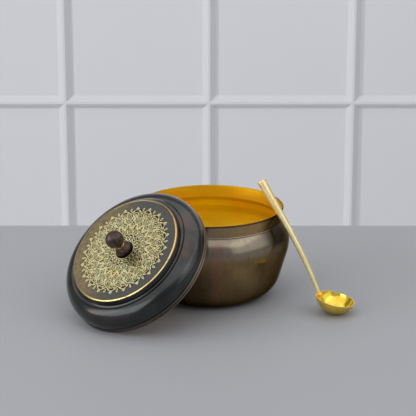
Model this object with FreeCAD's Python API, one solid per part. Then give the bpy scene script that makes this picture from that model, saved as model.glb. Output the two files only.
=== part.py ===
import FreeCAD, Part

# A brass ghee pot with its lid off, in millimetres. The pot stands on z = 0 with its axis on +Z.
# The lid leans on the rim with its inside towards the pot, and the spoon leans on the rim at
# the other side with its bowl on the table.

import math
import os

from FreeCAD import Placement, Rotation, Vector

UP = Vector(0, 0, 1)
ALONG = Vector(1, 0, 0)
ACROSS = Vector(0, 1, 0)
FULL_TURN = 360

# Pot body, spun from sheet brass
RIM_RADIUS = 52.0
POT_HEIGHT = 64.8
POT_WALL = 1.2
NECK_BAND = 8.9  # upright collar between the rim and the crease
NECK_DRAW = 1.0  # the crease lies this far inside the rim's radius
CREASE_BEAD = 0.5  # profile radius of the fine bead rolled along the crease
BELLY_SWELL = 4.3  # the widest ring stands out this far past the rim
BELLY_HEIGHT = 40.5
BELLY_ROUND = 28.0  # profile radius just below the widest ring
SIDE_FLARE = 16.4  # degrees that the side leans outwards between base and belly
HEEL_ROUND = 20.0  # profile radius between the side and the flat base

# Lid, spun from thinner sheet, in its own frame: z = 0 is the open edge and +Z points to the knob
LID_PLAY = 0.6  # the skirt's bore is this much wider than the rim
LID_SHEET = 1.0
HEM_HEIGHT = 2.0  # rolled hem at the open edge
HEM_NICK = 0.6  # depth of the line between hem and band
BAND_HEIGHT = 2.1  # rounded band above the hem
BAND_SET_BACK = 0.1
GROOVE_WIDTH = 0.8
GROOVE_DEPTH = 1.2
SEAT_RING = 1.1  # how far the groove's inner side stands into the bore, for the rim to meet
SEAT_RING_HEIGHT = 1.6
SHOULDER_SWELL = 0.8  # the shoulder's widest ring, past the bore
SHOULDER_RISE = 1.7  # from the groove up to the widest ring
SHOULDER_ROUND = 9.6  # profile radius of the shoulder
SHOULDER_WIDTH = 8.6  # from the widest ring in to the cove
COVE_WIDTH = 2.7  # hollow between the shoulder and the raised middle
COVE_DEPTH = 0.4
RISER_LEAN = 0.8
RISER_HEIGHT = 3.4
EDGE_BEAD_WIDTH = 1.8  # worn bead round the raised middle
EDGE_BEAD_RISE = 0.95
DISC_SINK = 0.35  # the ornamented disc lies this far below the bead

# Knob: turned foot and ball, with a thin collar between them, on one screw
SCREW_RADIUS = 2.0
SCREW_HOLE_PLAY = 0.05
FOOT_RADIUS = 5.7
FOOT_EDGE = 1.2  # height of the foot's widest ring
FOOT_BASE_INSET = 0.3
FOOT_CROWN = 4.2  # height at which the foot turns in to the neck
FOOT_CROWN_RADIUS = 4.4
FOOT_HEIGHT = 6.0
NECK_RADIUS = 3.0
COLLAR_RADIUS = 3.6
COLLAR_HEIGHT = 1.0
BALL_RADIUS = 6.3
BALL_NECK = 0.3  # short stem under the ball
BALL_HOLE_DEPTH = 5.5
WASHER_RADIUS = 5.0
WASHER_THICK = 0.8
SCREW_HEAD_RADIUS = 3.8
SCREW_HEAD_HEIGHT = 2.4
SCREW_HEAD_EDGE = 1.2  # rounding of the head
SCREW_TIP_PLAY = 0.5  # the screw ends this far short of the hole's bottom
SLOT_WIDTH = 0.9
SLOT_DEPTH = 1.1

# How the lid leans
LID_ABOVE_RIM = 7.7  # the upper side of its open edge stands this far above the rim
LID_SIDE = 225.7  # degrees round from +X, the side that the lid leans on
LID_REST_PLAY = 0.15

# Spoon, in its own frame: the origin is the centre of the bowl's sphere, and the handle is on -X
BOWL_RADIUS = 13.9
BOWL_DEPTH = 10.4
BOWL_SHEET = 0.8
HANDLE_INSET = 1.1  # the handle's middle line starts this far inside the bowl's rim
HANDLE_BEND_LENGTH = 56.8
HANDLE_STRAIGHT = 30.7
HANDLE_FIRST_RISE = 53.6  # degrees above level, where the handle leaves the bowl
HANDLE_LAST_RISE = 43.4  # degrees above level, along the straight part
HANDLE_LAP = 3.2  # the handle's foot runs this far down the bowl's inside
HANDLE_FOOT_WIDTH = 3.2
HANDLE_FOOT_THICK = 2.7
HANDLE_MIDDLE_WIDTH = 5.4  # where the bend ends
HANDLE_MIDDLE_THICK = 4.5
HANDLE_END_WIDTH = 7.5
HANDLE_END_THICK = 6.3
HANDLE_END_CHAMFER = 0.4
BRAZE_ROUND = 2.5  # radius of the braze round the handle's foot

# How the spoon leans
SPOON_TILT = 11.2  # degrees that the bowl's axis leans away from the pot
SPOON_ROLL = -2.8  # degrees that the bowl's axis leans to the side
SPOON_SIDE = -26.8  # degrees round from +X
SPOON_ASIDE = -1.5  # the bowl stands this far beside the line out from the pot's axis
SPOON_REST_PLAY = 0.15

BEND_STEPS = 4
STRAIGHT_STEPS = 2
HALVINGS = 30
OVERRUN = 5.0  # how far a cutting shape runs past what it cuts


def sin(degrees):
    return math.sin(math.radians(degrees))


def cos(degrees):
    return math.cos(math.radians(degrees))


class Outline:
    """A closed profile in the half plane of radius and height, drawn edge by edge."""

    def __init__(self, radius, height):
        self.start = Vector(radius, 0, height)
        self.here = self.start
        self.edges = []

    def add(self, curve, end):
        self.edges.append(curve.toShape())
        self.here = end
        return self

    def line(self, radius, height):
        end = Vector(radius, 0, height)
        return self.add(Part.LineSegment(self.here, end), end)

    def arc(self, through, end):
        """An arc to end by way of a point between."""
        middle = Vector(through[0], 0, through[1])
        end = Vector(end[0], 0, end[1])
        return self.add(Part.Arc(self.here, middle, end), end)

    def around(self, centre, end):
        """The shorter arc about a centre, to the direction in which end lies."""
        middle = Vector(centre[0], 0, centre[1])
        radius = (self.here - middle).Length
        last = Vector(end[0], 0, end[1]) - middle
        last.normalize()
        first = self.here - middle
        first.normalize()
        halfway = first + last
        halfway.normalize()
        end = middle + last * radius
        return self.add(Part.Arc(self.here, middle + halfway * radius, end), end)

    def spin(self):
        """The solid that the profile makes when it turns about +Z."""
        self.line(self.start.x, self.start.z)
        return Part.Face(Part.Wire(self.edges)).revolve(Vector(), UP, FULL_TURN)


def ring(bore, radius, bottom, height):
    outside = Part.makeCylinder(radius, height, Vector(0, 0, bottom))
    inside = Part.makeCylinder(bore, height, Vector(0, 0, bottom))
    return outside.cut(inside)


# Rim of the pot, as the circle in the middle of its rounded edge
RIM_MIDDLE_RADIUS = RIM_RADIUS - POT_WALL / 2
RIM_MIDDLE_HEIGHT = POT_HEIGHT - POT_WALL / 2


def pot_body():
    """One wall of even thickness: flat base, flaring side, belly, creased neck and rounded rim."""
    belly_radius = RIM_RADIUS + BELLY_SWELL
    crease_radius = RIM_RADIUS - NECK_DRAW
    crease_height = POT_HEIGHT - NECK_BAND
    belly = (belly_radius - BELLY_ROUND, BELLY_HEIGHT)
    # The side is the line that touches the belly's arc and the heel's arc.
    side_top = (
        belly[0] + BELLY_ROUND * cos(SIDE_FLARE),
        belly[1] - BELLY_ROUND * sin(SIDE_FLARE),
    )
    side_length = (side_top[1] - HEEL_ROUND * (1 - sin(SIDE_FLARE))) / cos(SIDE_FLARE)
    side_foot = (
        side_top[0] - side_length * sin(SIDE_FLARE),
        side_top[1] - side_length * cos(SIDE_FLARE),
    )
    heel = (side_foot[0] - HEEL_ROUND * cos(SIDE_FLARE), HEEL_ROUND)
    # Above the belly one arc runs from the widest ring, where it is upright, to the crease.
    bead_foot = (crease_radius, crease_height - CREASE_BEAD)
    across = belly_radius - bead_foot[0]
    rise = bead_foot[1] - BELLY_HEIGHT
    upper_round = (across**2 + rise**2) / (2 * across)
    upper = (belly_radius - upper_round, BELLY_HEIGHT)

    outline = Outline(0, 0)
    outline.line(heel[0], 0)
    outline.around(heel, side_foot)
    outline.line(*side_top)
    outline.around(belly, (belly_radius, BELLY_HEIGHT))
    outline.around(upper, bead_foot)
    outline.arc(
        (crease_radius + CREASE_BEAD, crease_height),
        (crease_radius, crease_height + CREASE_BEAD),
    )
    outline.line(RIM_RADIUS, RIM_MIDDLE_HEIGHT)
    outline.arc(
        (RIM_MIDDLE_RADIUS, POT_HEIGHT), (RIM_RADIUS - POT_WALL, RIM_MIDDLE_HEIGHT)
    )
    outline.line(crease_radius - POT_WALL, crease_height)
    inner_round = upper_round - POT_WALL
    shrink = inner_round / upper_round
    outline.around(
        (crease_radius, crease_height),
        (
            upper[0] + (bead_foot[0] - upper[0]) * shrink,
            upper[1] + (bead_foot[1] - upper[1]) * shrink,
        ),
    )
    # The arc about the crease ends where the inner side of the upper arc begins.
    start = math.hypot(outline.here.x - upper[0], outline.here.z - upper[1])
    outline.line(
        upper[0] + (outline.here.x - upper[0]) * inner_round / start,
        upper[1] + (outline.here.z - upper[1]) * inner_round / start,
    )
    outline.around(upper, (belly_radius, BELLY_HEIGHT))
    outline.around(belly, side_top)
    outline.line(
        side_foot[0] - POT_WALL * cos(SIDE_FLARE),
        side_foot[1] + POT_WALL * sin(SIDE_FLARE),
    )
    outline.around(heel, (heel[0], 0))
    outline.line(0, POT_WALL)
    return outline.spin()


# Levels and radii of the lid that more than one of its pieces use
LID_BORE = RIM_RADIUS + LID_PLAY
GROOVE_FOOT = HEM_HEIGHT + BAND_HEIGHT
GROOVE_MIDDLE = GROOVE_FOOT + GROOVE_WIDTH / 2
SHOULDER_RADIUS = LID_BORE + SHOULDER_SWELL
SHOULDER_HEIGHT = GROOVE_FOOT + GROOVE_WIDTH + SHOULDER_RISE
SHOULDER_CENTRE = (SHOULDER_RADIUS - SHOULDER_ROUND, SHOULDER_HEIGHT)
COVE_EDGE_RADIUS = SHOULDER_RADIUS - SHOULDER_WIDTH
RISER_FOOT_RADIUS = COVE_EDGE_RADIUS - COVE_WIDTH
MIDDLE_RADIUS = RISER_FOOT_RADIUS - RISER_LEAN
COVE_HEIGHT = SHOULDER_HEIGHT + math.sqrt(
    SHOULDER_ROUND**2 - (COVE_EDGE_RADIUS - SHOULDER_CENTRE[0]) ** 2
)
RISER_TOP = COVE_HEIGHT + RISER_HEIGHT
DISC_HEIGHT = RISER_TOP + EDGE_BEAD_RISE - DISC_SINK
DISC_UNDERSIDE = DISC_HEIGHT - LID_SHEET
HOLE_RADIUS = SCREW_RADIUS + SCREW_HOLE_PLAY


def shoulder_point(round_radius, height):
    """The point of the shoulder's outer or inner arc at a height below its widest ring."""
    drop = SHOULDER_HEIGHT - height
    return (SHOULDER_CENTRE[0] + math.sqrt(round_radius**2 - drop**2), height)


def lid_shell():
    """Hemmed skirt, groove, round shoulder, cove and raised middle, with the screw's hole."""
    skirt_radius = LID_BORE + LID_SHEET
    nick_radius = skirt_radius - HEM_NICK
    groove_radius = skirt_radius - GROOVE_DEPTH
    inner_round = SHOULDER_ROUND - LID_SHEET
    cove_middle = (RISER_FOOT_RADIUS + COVE_EDGE_RADIUS) / 2
    inner_cove_edge = COVE_EDGE_RADIUS
    inner_cove_height = SHOULDER_HEIGHT + math.sqrt(
        inner_round**2 - (inner_cove_edge - SHOULDER_CENTRE[0]) ** 2
    )
    seat_foot = GROOVE_MIDDLE - SEAT_RING_HEIGHT / 2
    seat_top = GROOVE_MIDDLE + SEAT_RING_HEIGHT / 2
    bead_crest = MIDDLE_RADIUS - EDGE_BEAD_WIDTH / 2

    outline = Outline(LID_BORE, 0)
    outline.arc((skirt_radius, HEM_HEIGHT / 2), (nick_radius, HEM_HEIGHT))
    outline.arc(
        (skirt_radius - BAND_SET_BACK, HEM_HEIGHT + BAND_HEIGHT / 2),
        (nick_radius, GROOVE_FOOT),
    )
    outline.arc(
        (groove_radius, GROOVE_MIDDLE),
        shoulder_point(SHOULDER_ROUND, GROOVE_FOOT + GROOVE_WIDTH),
    )
    outline.around(SHOULDER_CENTRE, (COVE_EDGE_RADIUS, COVE_HEIGHT))
    outline.arc((cove_middle, COVE_HEIGHT - COVE_DEPTH), (RISER_FOOT_RADIUS, COVE_HEIGHT))
    outline.line(MIDDLE_RADIUS, RISER_TOP)
    outline.arc(
        (bead_crest, RISER_TOP + EDGE_BEAD_RISE),
        (MIDDLE_RADIUS - EDGE_BEAD_WIDTH, DISC_HEIGHT),
    )
    outline.line(HOLE_RADIUS, DISC_HEIGHT)
    outline.line(HOLE_RADIUS, DISC_UNDERSIDE)
    outline.line(MIDDLE_RADIUS - LID_SHEET, DISC_UNDERSIDE)
    outline.line(RISER_FOOT_RADIUS - LID_SHEET, inner_cove_height)
    outline.arc(
        (cove_middle, inner_cove_height - COVE_DEPTH), (inner_cove_edge, inner_cove_height)
    )
    outline.around(SHOULDER_CENTRE, shoulder_point(inner_round, seat_top))
    outline.arc((LID_BORE - SEAT_RING, GROOVE_MIDDLE), (LID_BORE, seat_foot))
    return outline.spin()


def knob_foot():
    """Turned foot that stands on the disc and narrows to a neck."""
    outline = Outline(HOLE_RADIUS, DISC_HEIGHT)
    outline.line(FOOT_RADIUS - FOOT_BASE_INSET, DISC_HEIGHT)
    outline.arc(
        (FOOT_RADIUS, DISC_HEIGHT + FOOT_EDGE), (FOOT_CROWN_RADIUS, DISC_HEIGHT + FOOT_CROWN)
    )
    outline.line(NECK_RADIUS, DISC_HEIGHT + FOOT_HEIGHT - FOOT_BASE_INSET)
    outline.line(NECK_RADIUS, DISC_HEIGHT + FOOT_HEIGHT)
    outline.line(HOLE_RADIUS, DISC_HEIGHT + FOOT_HEIGHT)
    return outline.spin()


COLLAR_FOOT = DISC_HEIGHT + FOOT_HEIGHT
BALL_FOOT = COLLAR_FOOT + COLLAR_HEIGHT
BALL_JOIN = BALL_FOOT + BALL_NECK
BALL_CENTRE = BALL_JOIN + math.sqrt(BALL_RADIUS**2 - NECK_RADIUS**2)


def knob_collar():
    """Thin ring with a rounded edge, held between foot and ball."""
    inset = COLLAR_HEIGHT / 2
    outline = Outline(HOLE_RADIUS, COLLAR_FOOT)
    outline.line(COLLAR_RADIUS - inset, COLLAR_FOOT)
    outline.arc((COLLAR_RADIUS, COLLAR_FOOT + inset), (COLLAR_RADIUS - inset, BALL_FOOT))
    outline.line(HOLE_RADIUS, BALL_FOOT)
    return outline.spin()


def knob_ball():
    """Ball on a short stem, with the screw's blind hole in it."""
    hole_top = BALL_FOOT + BALL_HOLE_DEPTH
    outline = Outline(HOLE_RADIUS, BALL_FOOT)
    outline.line(NECK_RADIUS, BALL_FOOT)
    outline.line(NECK_RADIUS, BALL_JOIN)
    outline.arc((BALL_RADIUS, BALL_CENTRE), (0, BALL_CENTRE + BALL_RADIUS))
    outline.line(0, hole_top)
    outline.line(HOLE_RADIUS, hole_top)
    return outline.spin()


WASHER_FOOT = DISC_UNDERSIDE - WASHER_THICK


def knob_washer():
    """Plain washer under the disc, inside the lid."""
    return ring(HOLE_RADIUS, WASHER_RADIUS, WASHER_FOOT, WASHER_THICK)


def knob_screw():
    """Slotted screw with a rounded head, up through washer, lid, foot and collar into the ball."""
    head_bottom = WASHER_FOOT - SCREW_HEAD_HEIGHT
    tip = BALL_FOOT + BALL_HOLE_DEPTH - SCREW_TIP_PLAY
    edge = (SCREW_HEAD_RADIUS - SCREW_HEAD_EDGE, head_bottom + SCREW_HEAD_EDGE)
    outline = Outline(0, head_bottom)
    outline.line(edge[0], head_bottom)
    outline.around(edge, (SCREW_HEAD_RADIUS, edge[1]))
    outline.line(SCREW_HEAD_RADIUS, WASHER_FOOT)
    outline.line(SCREW_RADIUS, WASHER_FOOT)
    outline.line(SCREW_RADIUS, tip)
    outline.line(0, tip)
    slot_length = 2 * SCREW_HEAD_RADIUS + OVERRUN
    slot = Part.makeBox(
        slot_length,
        SLOT_WIDTH,
        SLOT_DEPTH + OVERRUN,
        Vector(-slot_length / 2, -SLOT_WIDTH / 2, head_bottom - OVERRUN),
    )
    return outline.spin().cut(slot)


HANDLE_LENGTH = HANDLE_BEND_LENGTH + HANDLE_STRAIGHT

# The bowl is a cap of a sphere. Its rim lies below the sphere's centre.
BOWL_SPHERE = (BOWL_RADIUS**2 + BOWL_DEPTH**2) / (2 * BOWL_DEPTH)
BOWL_RIM_HEIGHT = BOWL_DEPTH - BOWL_SPHERE


def spoon_bowl():
    """Pressed bowl of even sheet with a flat rim."""
    inner_sphere = BOWL_SPHERE - BOWL_SHEET
    inner_rim = math.sqrt(inner_sphere**2 - BOWL_RIM_HEIGHT**2)
    centre = (0, 0)
    outline = Outline(0, -BOWL_SPHERE)
    outline.around(centre, (BOWL_RADIUS, BOWL_RIM_HEIGHT))
    outline.line(inner_rim, BOWL_RIM_HEIGHT)
    outline.around(centre, (0, -inner_sphere))
    return outline.spin()


def bowl_hollow():
    """All that lies above the rim's plane or inside the bowl."""
    reach = HANDLE_BEND_LENGTH + HANDLE_STRAIGHT
    above = Part.makeBox(
        2 * reach, 2 * reach, 2 * reach, Vector(-reach, -reach, BOWL_RIM_HEIGHT)
    )
    return above.fuse(Part.makeSphere(BOWL_SPHERE - BOWL_SHEET))


def handle_at(distance):
    """Place and rise of the handle's middle line, at a distance along it from the bowl's rim."""
    turn = HANDLE_FIRST_RISE - HANDLE_LAST_RISE
    bend_radius = HANDLE_BEND_LENGTH / math.radians(turn)
    foot = Vector(HANDLE_INSET - BOWL_RADIUS, 0, BOWL_RIM_HEIGHT)
    centre = foot + outward(HANDLE_FIRST_RISE) * -bend_radius
    bent_share = min(max(distance / HANDLE_BEND_LENGTH, 0), 1)
    rise = HANDLE_FIRST_RISE - turn * bent_share
    beyond = distance - HANDLE_BEND_LENGTH * bent_share
    return centre + outward(rise) * bend_radius + forward(rise) * beyond, rise


def forward(rise):
    return Vector(-cos(rise), 0, sin(rise))


def outward(rise):
    return Vector(sin(rise), 0, cos(rise))


def handle_section(distance, shrink=0):
    """Oval section across the handle, wide along Y and thickest at the handle's end."""
    point, rise = handle_at(distance)
    if distance < HANDLE_BEND_LENGTH:
        share = max(distance, 0) / HANDLE_BEND_LENGTH
        width = HANDLE_FOOT_WIDTH + (HANDLE_MIDDLE_WIDTH - HANDLE_FOOT_WIDTH) * share
        thick = HANDLE_FOOT_THICK + (HANDLE_MIDDLE_THICK - HANDLE_FOOT_THICK) * share
    else:
        share = min((distance - HANDLE_BEND_LENGTH) / HANDLE_STRAIGHT, 1)
        width = HANDLE_MIDDLE_WIDTH + (HANDLE_END_WIDTH - HANDLE_MIDDLE_WIDTH) * share
        thick = HANDLE_MIDDLE_THICK + (HANDLE_END_THICK - HANDLE_MIDDLE_THICK) * share
    oval = Part.Ellipse(Vector(), width / 2 - shrink, thick / 2 - shrink).toShape()
    oval.Placement = Placement(point, Rotation(ACROSS, outward(rise), Vector(), "XYZ"))
    return Part.Wire([oval])


def whole_handle():
    """Tapered rod through all the sections, with a chamfer round its cut end."""
    stations = [-HANDLE_LAP]
    stations += [HANDLE_BEND_LENGTH * n / BEND_STEPS for n in range(1, BEND_STEPS)]
    stations += [
        HANDLE_BEND_LENGTH + HANDLE_STRAIGHT * n / STRAIGHT_STEPS
        for n in range(STRAIGHT_STEPS + 1)
    ]
    rod = Part.makeLoft([handle_section(station) for station in stations], True, False)
    tip = [
        handle_section(HANDLE_LENGTH),
        handle_section(HANDLE_LENGTH + HANDLE_END_CHAMFER, HANDLE_END_CHAMFER),
    ]
    return rod.fuse(Part.makeLoft(tip, True, True))


def spoon_handle():
    """The rod, fitted to the bowl: its foot sits on the rim and laps down the inside."""
    return whole_handle().common(bowl_hollow())


def spoon_braze(handle):
    """Braze metal run round the handle's foot, on the bowl's inner wall."""
    lap_middle = handle_at(-HANDLE_LAP / 2)[0]
    bead = Part.makeSphere(BRAZE_ROUND, lap_middle)
    return bead.common(Part.makeSphere(BOWL_SPHERE - BOWL_SHEET)).cut(handle)


def slide_to(gap_at, wanted, near, far):
    """The place at which a gap that grows from near to far is the wanted one."""
    for _ in range(HALVINGS):
        middle = (near + far) / 2
        if gap_at(middle) > wanted:
            far = middle
        else:
            near = middle
    return far


def rim_circle():
    return Part.Circle(Vector(0, 0, RIM_MIDDLE_HEIGHT), UP, RIM_MIDDLE_RADIUS).toShape()


def leaning(side, tilt, roll, reach, aside, height):
    """Placement on one side of the pot, tilted away from it and rolled sideways."""
    turn = Rotation(UP, side).multiply(Rotation(ALONG, roll)).multiply(Rotation(ACROSS, tilt))
    base = Rotation(UP, side).multVec(Vector(reach, aside, height))
    return Placement(base, turn)


LID_TILT = math.degrees(math.asin((POT_HEIGHT + LID_ABOVE_RIM) / (2 * LID_BORE)))


def lid_place():
    """The hem stands on the table, and the bore's edge meets the rim at two points."""
    hem_round = HEM_HEIGHT / 2
    height = LID_BORE * sin(LID_TILT) + hem_round * (1 - cos(LID_TILT))
    rise = RIM_MIDDLE_HEIGHT - height
    meeting = RIM_MIDDLE_RADIUS**2 + (rise / sin(LID_TILT)) ** 2 - LID_BORE**2
    near = math.sqrt(meeting) + rise * cos(LID_TILT) / sin(LID_TILT)
    rim = rim_circle()
    edge = Part.Circle(Vector(), UP, LID_BORE).toShape()

    def gap_at(reach):
        edge.Placement = leaning(LID_SIDE, LID_TILT, 0, reach, 0, height)
        return edge.distToShape(rim)[0]

    reach = slide_to(gap_at, POT_WALL / 2 + LID_REST_PLAY, near, near + LID_BORE)
    return leaning(LID_SIDE, LID_TILT, 0, reach, 0, height)


def spoon_place(handle):
    """The bowl stands on the table, and the handle lies against the rim."""
    rise = HANDLE_LAST_RISE + SPOON_TILT
    still = leaning(0, SPOON_TILT, SPOON_ROLL, 0, 0, BOWL_SPHERE)
    end = still.multVec(handle_at(HANDLE_LENGTH)[0])
    reach_at_rim = end.x + (end.z - RIM_MIDDLE_HEIGHT) * cos(rise) / sin(rise)
    near = RIM_MIDDLE_RADIUS - reach_at_rim
    rim = rim_circle()
    rod = handle.copy()

    def standing(reach):
        return leaning(SPOON_SIDE, SPOON_TILT, SPOON_ROLL, reach, SPOON_ASIDE, BOWL_SPHERE)

    def gap_at(reach):
        rod.Placement = standing(reach)
        return rod.distToShape(rim)[0]

    wanted = POT_WALL / 2 + SPOON_REST_PLAY
    return standing(slide_to(gap_at, wanted, near, near + HANDLE_END_THICK))


def build():
    """Every piece in its place, by name."""
    handle = spoon_handle()
    lid = {
        "lid_shell": lid_shell(),
        "knob_foot": knob_foot(),
        "knob_collar": knob_collar(),
        "knob_ball": knob_ball(),
        "knob_washer": knob_washer(),
        "knob_screw": knob_screw(),
    }
    spoon = {
        "spoon_bowl": spoon_bowl(),
        "spoon_handle": handle,
        "spoon_braze": spoon_braze(handle),
    }
    pieces = {"pot_body": pot_body()}
    for group, place in ((lid, lid_place()), (spoon, spoon_place(handle))):
        for name, piece in group.items():
            piece.Placement = place.multiply(piece.Placement)
            pieces[name] = piece
    return pieces


os.makedirs("parts", exist_ok=True)
for name, piece in build().items():
    piece.exportStep(f"parts/{name}.step")
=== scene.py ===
import math
from collections import namedtuple

import bpy
from mathutils import Matrix, Vector


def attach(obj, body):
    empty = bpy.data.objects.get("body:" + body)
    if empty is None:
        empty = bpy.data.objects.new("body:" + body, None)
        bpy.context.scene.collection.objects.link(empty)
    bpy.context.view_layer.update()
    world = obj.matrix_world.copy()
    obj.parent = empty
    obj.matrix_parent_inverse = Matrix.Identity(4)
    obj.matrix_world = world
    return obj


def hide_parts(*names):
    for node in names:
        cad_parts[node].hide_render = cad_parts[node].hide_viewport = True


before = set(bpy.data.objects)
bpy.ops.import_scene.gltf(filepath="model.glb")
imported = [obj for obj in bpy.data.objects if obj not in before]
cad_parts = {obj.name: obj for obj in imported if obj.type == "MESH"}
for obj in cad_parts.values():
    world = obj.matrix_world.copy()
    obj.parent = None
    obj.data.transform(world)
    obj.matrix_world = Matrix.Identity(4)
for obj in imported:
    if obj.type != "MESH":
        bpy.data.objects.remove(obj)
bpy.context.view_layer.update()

# The ghee pot's finished surfaces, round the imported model. Sizes are in millimetres and become
# metres in the meshes. A spun piece is drawn as a profile of radius and height, then turned.

MM = 0.001
ROUND_STEPS = 192
ARC_STEP = 7.0  # degrees of a profile's arc between two points
JOIN_DISTANCE = 0.00001  # metres
RING_DEPTH = 0.04  # of the points at the end of a leaning piece
POINT_DIGITS = 7  # decimals of a metre that tell two points apart
ROUND_SEGMENTS = 3

# Edges sharper than this many degrees stay sharp
SPUN_SMOOTH = 32
LACE_SMOOTH = 60
HANDLE_SMOOTH = 50

# How far a face has to face inwards, up or down to be on the sheet's inner side
POT_INWARD = 0.01
POT_FLOOR_UP = 0.999
LID_INWARD = 0.2
LID_DOWN = 0.3
BOWL_UP = 0.6

# Pot
RIM_RADIUS = 52.0
POT_HEIGHT = 64.8
POT_WALL = 1.2
NECK_BAND = 8.9
NECK_DRAW = 1.0
CREASE_BEAD = 0.5
BELLY_SWELL = 4.3
BELLY_HEIGHT = 40.5
BELLY_ROUND = 28.0
SIDE_FLARE = 16.4  # degrees
HEEL_ROUND = 20.0
CREASE_HEIGHT = POT_HEIGHT - NECK_BAND

# Lid
LID_PLAY = 0.6
LID_SHEET = 1.0
HEM_HEIGHT = 2.0
HEM_NICK = 0.6
BAND_HEIGHT = 2.1
BAND_SET_BACK = 0.1
GROOVE_WIDTH = 0.8
GROOVE_DEPTH = 1.2
SEAT_RING = 1.1
SEAT_RING_HEIGHT = 1.6
SHOULDER_SWELL = 0.8
SHOULDER_RISE = 1.7
SHOULDER_ROUND = 9.6
SHOULDER_WIDTH = 8.6
COVE_WIDTH = 2.7
COVE_DEPTH = 0.4
RISER_LEAN = 0.8
RISER_HEIGHT = 3.4
EDGE_BEAD_WIDTH = 1.8
EDGE_BEAD_RISE = 0.95
DISC_SINK = 0.35
LID_ABOVE_RIM = 7.7
LID_SIDE = 225.7  # degrees

# Knob
HOLE_RADIUS = 2.05
FOOT_RADIUS = 5.7
FOOT_EDGE = 1.2
FOOT_BASE_INSET = 0.3
FOOT_CROWN = 4.2
FOOT_CROWN_RADIUS = 4.4
FOOT_HEIGHT = 6.0
NECK_RADIUS = 3.0
COLLAR_RADIUS = 3.6
COLLAR_HEIGHT = 1.0
BALL_RADIUS = 6.3
BALL_NECK = 0.3

# Raised lace on the lid's disc
LACE_SECTORS = 20
LACE_WIDTH = 0.345
LACE_RISE = 0.03
LACE_RINGS = (7.2, 12.5, 13.4)
LACE_REACH = 32.6
STRAND_START = 0.1  # width of the square that is merged into a strand's first point

# Spoon
BOWL_RADIUS = 13.9
BOWL_DEPTH = 10.4
BOWL_SHEET = 0.8
HANDLE_INSET = 1.1
HANDLE_BEND_LENGTH = 56.8
HANDLE_STRAIGHT = 30.7
HANDLE_FIRST_RISE = 53.6  # degrees
HANDLE_LAST_RISE = 43.4
HANDLE_LAP = 3.0
HANDLE_FOOT = (3.2, 2.7)  # width and thickness
HANDLE_MIDDLE = (5.4, 4.5)
HANDLE_END = (7.5, 6.3)
HANDLE_END_ROUND = 0.4
SPOON_TILT = 11.2  # degrees
SPOON_ROLL = -2.8
SPOON_SIDE = -26.8

# Camera, stage and room, in metres
CAMERA_PLACE = (-0.0016, -1.1905, 0.4258)
CAMERA_DOWN = 16.968  # degrees
FOCAL_PIXELS = 1751.818
FRAME_PIXELS = 416
SENSOR = 36.0
TABLE_FAR_EDGE = 0.158
TABLE_SIZE = (6, 3)
TABLE_THICKNESS = 0.03
TABLE_EDGE_ROUND = 0.002
TABLE_HEIGHT = 0.62
FLOOR_SIZE = 12
WALL_DISTANCE = 1.8
WALL_PANEL = 0.2524
WALL_COLUMNS = 36
WALL_ROWS = 20
WALL_CENTRE = (0.0002, -0.2945)
WALL_STILE = 0.004
WALL_BEVEL = 0.0095
WALL_SINK = 0.009
POT_MIDDLE = (0, 0, 0.03)
WHITE = (1, 1, 1)
COOL_WHITE = (0.9, 0.95, 1)
ROOM_TINT = (0.92, 0.94, 1.0, 1)
ROOM_STRENGTH = 0.33


def sin(degrees):
    return math.sin(math.radians(degrees))


def cos(degrees):
    return math.cos(math.radians(degrees))


def paint(red, green, blue):
    """A colour as it looks, 0 to 255, in the linear values that the shaders take."""

    def linear(value):
        value /= 255
        return value / 12.92 if value <= 0.04045 else ((value + 0.055) / 1.055) ** 2.4

    return (linear(red), linear(green), linear(blue), 1.0)


# ---- shapes


class Profile:
    """Points of radius and height along a piece's section."""

    def __init__(self, radius, height):
        self.points = [(radius, height)]

    def line(self, radius, height):
        self.points.append((radius, height))

    def around(self, centre, end):
        """An arc about a centre, the shorter way, to the direction in which end lies."""
        here = Vector(self.points[-1]) - Vector(centre)
        there = Vector(end) - Vector(centre)
        turn = -here.angle_signed(there)
        steps = max(2, math.ceil(abs(math.degrees(turn)) / ARC_STEP))
        for step in range(1, steps + 1):
            away = Matrix.Rotation(turn * step / steps, 2) @ here
            self.points.append(tuple(Vector(centre) + away))

    def arc(self, through, end):
        """An arc to end by way of a point between."""
        a, b, c = Vector(self.points[-1]), Vector(through), Vector(end)
        across, along = b - a, c - a
        area = 2 * (across.x * along.y - across.y * along.x)
        centre = a + Vector(
            (
                along.y * across.length_squared - across.y * along.length_squared,
                across.x * along.length_squared - along.x * across.length_squared,
            )
        ) / area
        self.around(centre, through)
        self.around(centre, end)


def pick(obj):
    """Makes one piece the only one that the next operator works on."""
    bpy.ops.object.select_all(action="DESELECT")
    obj.select_set(True)
    bpy.context.view_layer.objects.active = obj


def edit_only(obj):
    """Enters edit mode with everything in the piece selected."""
    pick(obj)
    bpy.ops.object.mode_set(mode="EDIT")
    bpy.ops.mesh.select_all(action="SELECT")


def leave_edit():
    bpy.ops.object.mode_set(mode="OBJECT")


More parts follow.
